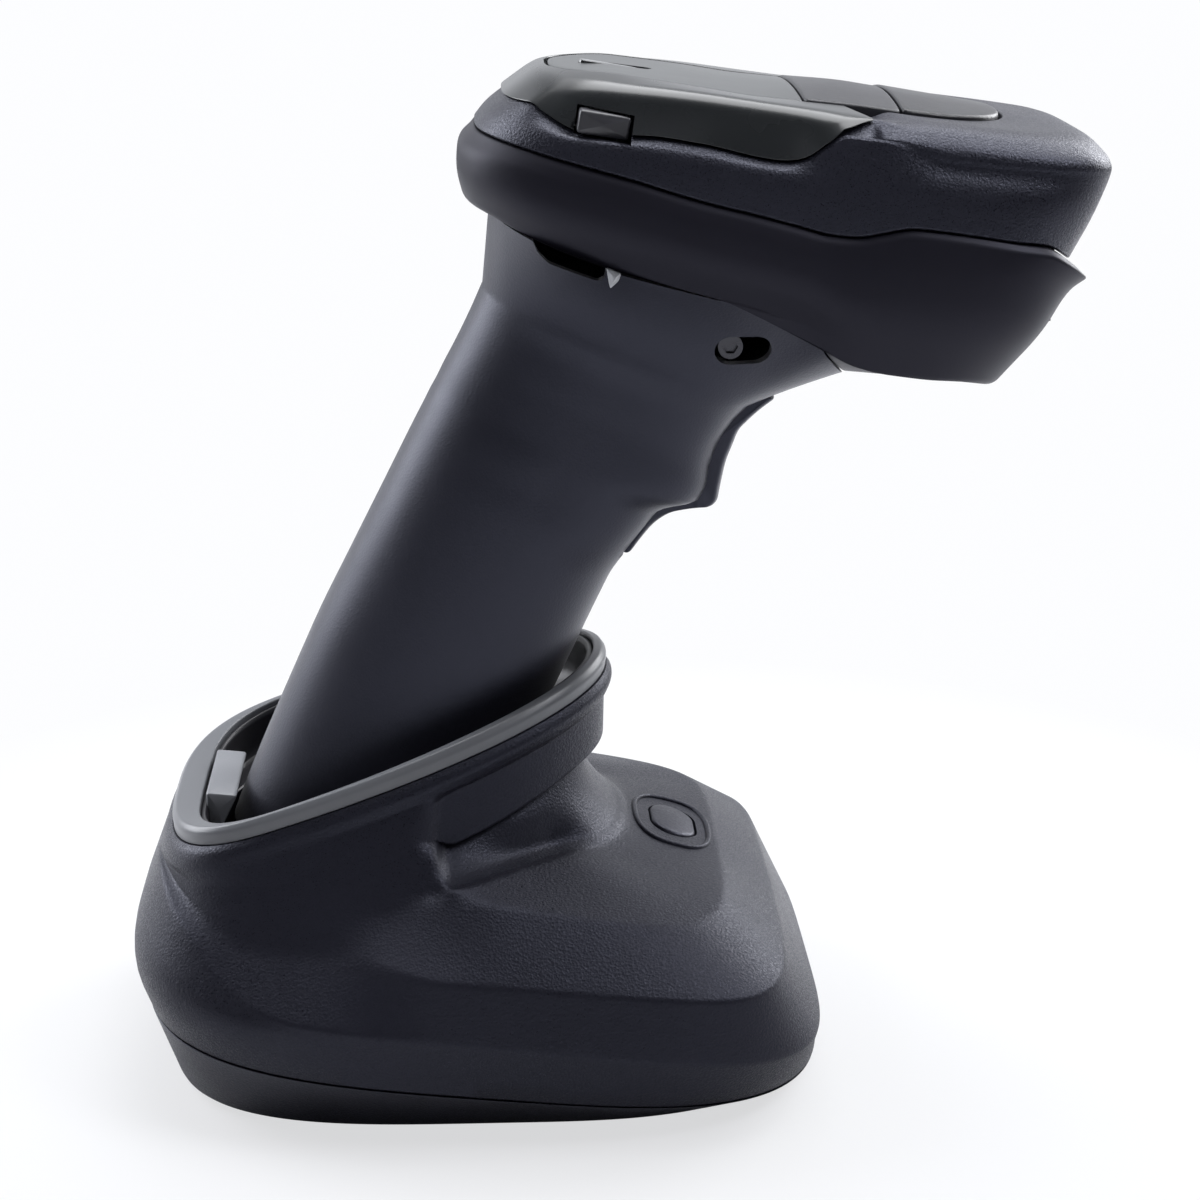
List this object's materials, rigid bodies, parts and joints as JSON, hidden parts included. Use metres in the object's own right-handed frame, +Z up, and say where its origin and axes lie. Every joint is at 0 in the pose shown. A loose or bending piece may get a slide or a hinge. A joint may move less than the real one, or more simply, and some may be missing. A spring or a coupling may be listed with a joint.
{
  "type": "handheld barcode scanner with charging cradle",
  "caption": "Cordless pistol-grip barcode scanner standing in its charging cradle; it lifts out along the handle, and the trigger, side buttons, page button and contact pins move.",
  "frame": {"origin": "middle of the whole object's bounding box, on the table", "axes": "+X the way the scanner reads, +Y to its left, +Z up; the handle leans 24 degrees forward"},
  "size_m": [0.1567, 0.096, 0.1659],
  "materials": {
    "grained_shell": "fine moulded grain, near black with a violet cast",
    "base_plastic": "satin moulded",
    "ring_grey": "satin, moulded in colour",
    "cup_black": "satin",
    "pad_light": "satin",
    "circuit_board": "solder mask",
    "switch_plastic": "moulded",
    "steel": "zinc plated",
    "foot_rubber": "matte",
    "socket_shell": "plated",
    "button_plastic": "satin",
    "contact_gold": "gold plated",
    "spring_steel": "spring wire",
    "gloss_black": "polished",
    "satin_grey": "satin",
    "indicator_clear": "frosted clear",
    "pad_dark": "satin",
    "insert_black": "satin",
    "bumper_rubber": "soft-touch, smooth",
    "window_glass": "clear, dark tint",
    "lens_glass": "polished",
    "led_white": "frosted",
    "aimer_red": "polished",
    "button_grey": "satin",
    "grip_plastic": "soft-touch satin",
    "clip_grey": "satin",
    "trigger_plastic": "satin",
    "battery_wrap": "shrink sleeve"
  },
  "bodies": {
    "cradle": {"cradle_shell": "grained_shell", "cradle_base_plate": "base_plastic", "ring_bezel": "ring_grey", "cup_liner": "cup_black", "rear_rest_pad": "pad_light", "cradle_circuit_board": "circuit_board", "contact_block": "switch_plastic", "ballast_plate": "steel", "rubber_feet": "foot_rubber", "base_screws": "steel", "data_socket": "socket_shell", "page_switch": "switch_plastic", "pin_springs": "spring_steel"},
    "scanner": {"head_upper_shell": "grained_shell", "side_gloss_cover": "gloss_black", "top_plate": "satin_grey", "indicator_lens": "indicator_clear", "top_pad": "pad_dark", "top_insert": "insert_black", "head_bumper": "bumper_rubber", "window_bezel": "cup_black", "scan_window": "window_glass", "imager_housing": "switch_plastic", "imager_lens": "lens_glass", "illumination_leds": "led_white", "aimer_lens": "aimer_red", "main_circuit_board": "circuit_board", "beeper": "switch_plastic", "side_switches": "switch_plastic", "grip_shell_right": "grip_plastic", "grip_shell_left": "grip_plastic", "grip_screws": "steel", "bumper_clip": "clip_grey", "trigger_bracket": "switch_plastic", "trigger_pin": "steel", "trigger_spring": "spring_steel", "trigger_switch": "switch_plastic", "battery_pack": "battery_wrap", "battery_cap": "grip_plastic", "cap_contacts": "contact_gold", "cap_screw": "steel"},
    "trigger": {"trigger": "trigger_plastic"},
    "side_button_right": {"side_button_right": "button_grey"},
    "side_button_left": {"side_button_left": "button_grey"},
    "page_button": {"page_button": "button_plastic"},
    "charge_pins": {"charge_pins": "contact_gold"}
  },
  "joints": [
    {"name": "scanner_lift", "type": "slide", "parent": "cradle", "child": "scanner", "axis": [0.4067, 0, 0.9135], "range_m": [0, 0.14]},
    {"name": "trigger_pull", "type": "hinge", "parent": "scanner", "child": "trigger", "pos_m": [0.01271, 0, 0.11625], "axis": [0, 1, 0], "range_deg": [0, 6.5], "stiffness_Nm_per_rad": 0.05, "deforming": ["trigger_spring"]},
    {"name": "side_button_right_press", "type": "slide", "parent": "scanner", "child": "side_button_right", "axis": [0, 1, 0], "range_m": [0, 0.0006], "stiffness_N_per_m": 400},
    {"name": "side_button_left_press", "type": "slide", "parent": "scanner", "child": "side_button_left", "axis": [0, -1, 0], "range_m": [0, 0.0006], "stiffness_N_per_m": 400},
    {"name": "page_button_press", "type": "slide", "parent": "cradle", "child": "page_button", "axis": [-0.342, 0, -0.9397], "range_m": [0, 0.0008], "stiffness_N_per_m": 400},
    {"name": "charge_pin_press", "type": "slide", "parent": "cradle", "child": "charge_pins", "axis": [-0.4067, 0, -0.9135], "range_m": [0, 0.0008], "stiffness_N_per_m": 400, "deforming": ["pin_springs"]}
  ]
}
